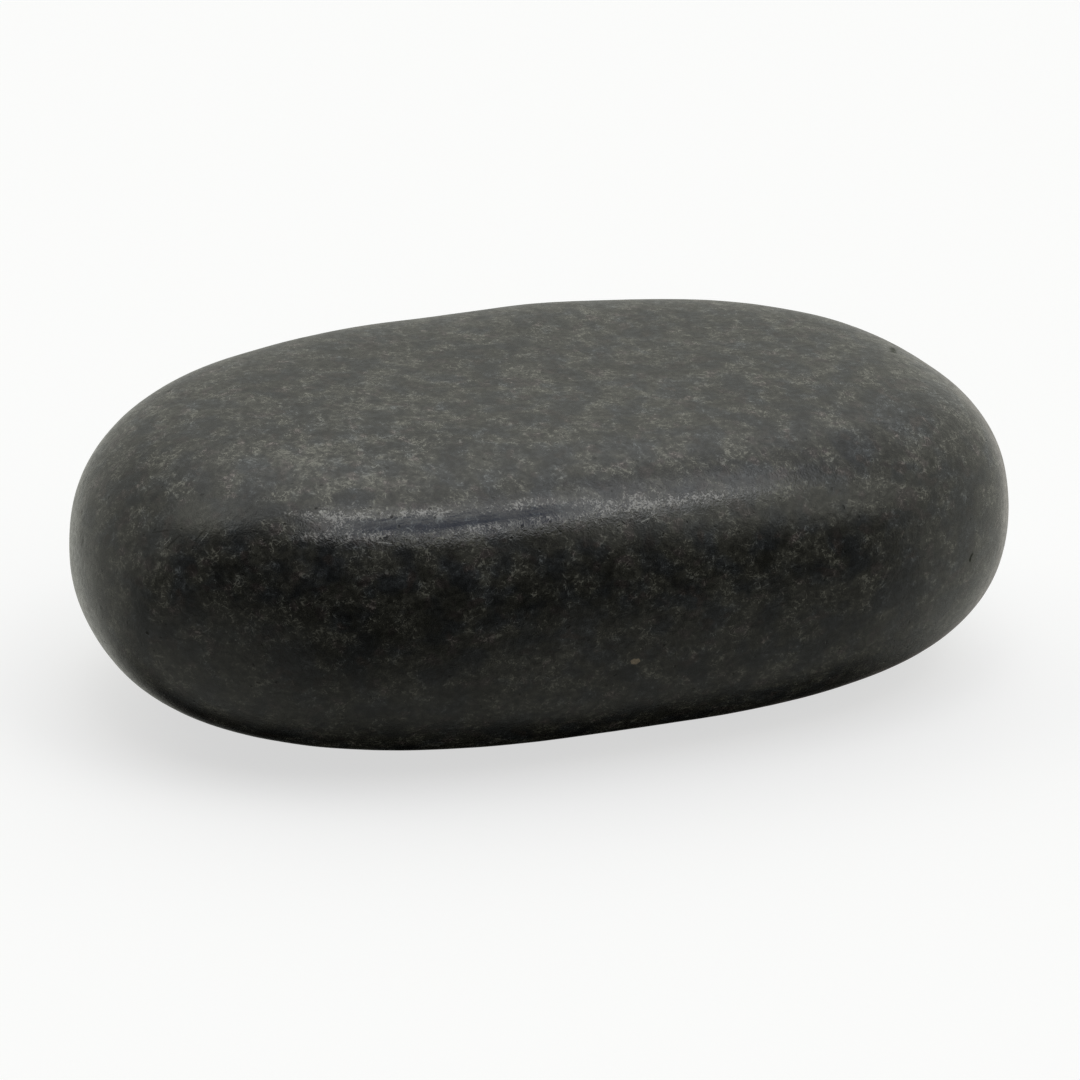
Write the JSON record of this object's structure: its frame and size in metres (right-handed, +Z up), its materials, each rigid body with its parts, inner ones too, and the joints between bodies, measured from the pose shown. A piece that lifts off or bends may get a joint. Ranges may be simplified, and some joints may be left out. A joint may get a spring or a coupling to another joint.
{
  "type": "river pebble",
  "caption": "Oval water-worn river pebble in dark green-grey basalt, with a nearly flat crown, a tight rounded shoulder and a small worn flat under its belly.",
  "frame": {"origin": "middle of the footprint box, on the plane that the stone rests on", "axes": "+X along the stone's length, +Y along its width, +Z up from the worn flat to the crown"},
  "size_m": [0.1, 0.0694, 0.0335],
  "materials": {
    "stone": "semi-polished dark green-grey basalt"
  },
  "bodies": {
    "root": {"pebble": "stone"}
  },
  "joints": []
}
